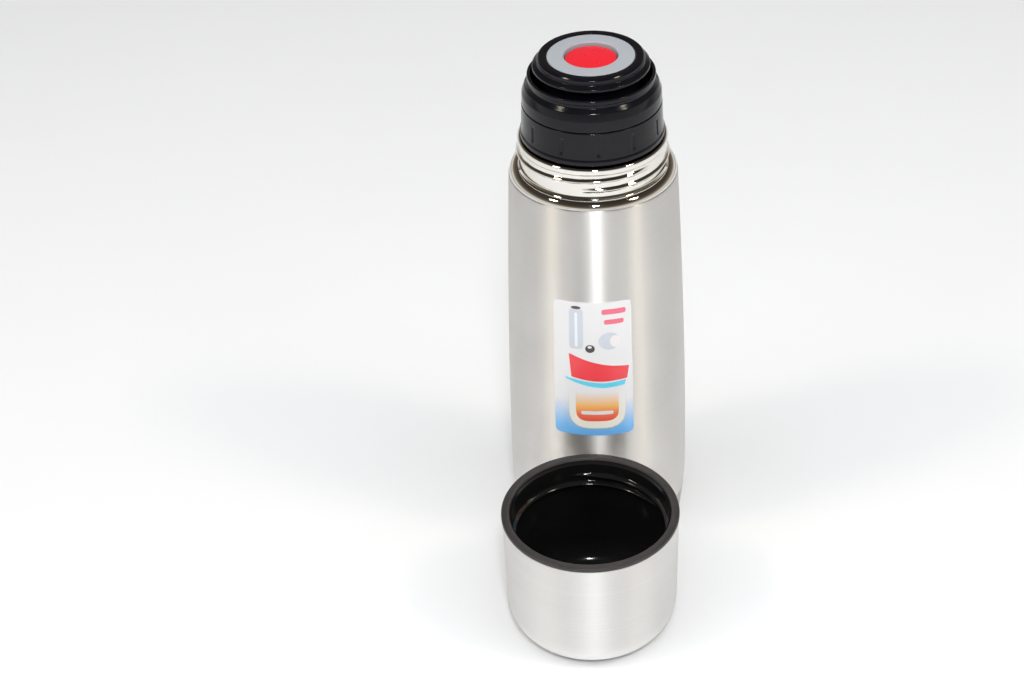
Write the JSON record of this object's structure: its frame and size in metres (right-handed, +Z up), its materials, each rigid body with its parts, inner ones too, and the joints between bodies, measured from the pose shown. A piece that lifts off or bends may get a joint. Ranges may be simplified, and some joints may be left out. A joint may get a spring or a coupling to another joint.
{
  "type": "vacuum flask",
  "caption": "Slim brushed steel vacuum flask with a black push-button stopper on a polished threaded neck, and its steel drinking cup standing beside it.",
  "frame": {"origin": "middle of the footprint of the flask and the cup beside it, on the surface they stand on", "axes": "+Z up along the flask, +Y from the cup towards the flask, +X to the right seen from the cup side"},
  "size_m": [0.0678, 0.1292, 0.1931],
  "materials": {
    "brushed_steel": "fine horizontal brushing, satin",
    "polished_steel": "mirror polished",
    "inner_steel": "dull drawn steel",
    "foil": "bright foil",
    "black_plastic": "high gloss",
    "cup_plastic": "gloss inside, satin on the rim",
    "grey_plastic": "satin",
    "red_plastic": "satin gloss",
    "white_plastic": "moulded",
    "silicone": "matte",
    "sticker": null
  },
  "bodies": {
    "flask": {"outer_shell": "brushed_steel", "outer_base": "brushed_steel", "base_cover": "brushed_steel", "evacuation_plug": "inner_steel", "getter_capsule": "inner_steel", "inner_base": "inner_steel", "inner_liner": "inner_steel", "radiation_foil": "foil", "neck_ring": "polished_steel", "front_label": "sticker"},
    "seal_ring": {"plug_gasket": "silicone"},
    "stopper": {"stopper_plug": "black_plastic", "stopper_collar": "black_plastic", "collar_seal": "silicone", "spring_housing": "white_plastic", "top_disc": "black_plastic", "ring_spring": "inner_steel", "button_spring": "inner_steel"},
    "ring": {"close_ring": "grey_plastic"},
    "latch": {"latch_ring": "inner_steel"},
    "button": {"open_button": "red_plastic", "valve_stem": "white_plastic", "valve_disc": "white_plastic", "valve_seal": "silicone", "stem_screw": "inner_steel"},
    "cup": {"cup_shell": "brushed_steel", "cup_liner": "cup_plastic"}
  },
  "joints": [
    {"name": "cup_lift", "type": "slide", "parent": "flask", "child": "cup", "axis": [0, 0, 1], "range_m": [0, 0.2]},
    {"name": "stopper_lift", "type": "slide", "parent": "flask", "child": "seal_ring", "axis": [0, 0, 1], "range_m": [0, 0.0061]},
    {"name": "stopper_turn", "type": "hinge", "parent": "seal_ring", "child": "stopper", "pos_m": [0.00085, 0.03161, 0.1642], "axis": [0, 0, 1], "range_deg": [0, 540]},
    {"name": "button_press", "type": "slide", "parent": "stopper", "child": "button", "axis": [0, 0, -1], "range_m": [0, 0.0025], "stiffness_N_per_m": 600, "deforming": ["button_spring"]},
    {"name": "ring_press", "type": "slide", "parent": "stopper", "child": "ring", "axis": [0, 0, -1], "range_m": [0, 0.0015], "stiffness_N_per_m": 600, "deforming": ["ring_spring"]},
    {"name": "latch_slide", "type": "slide", "parent": "stopper", "child": "latch", "axis": [1, 0, 0], "range_m": [0, 0.0008]}
  ],
  "couplings": [
    {"joint": "stopper_lift", "follows": "stopper_turn", "m_per_rad": 0.00063662},
    {"joint": "latch_slide", "follows": "ring_press", "ratio": 0.5333}
  ]
}
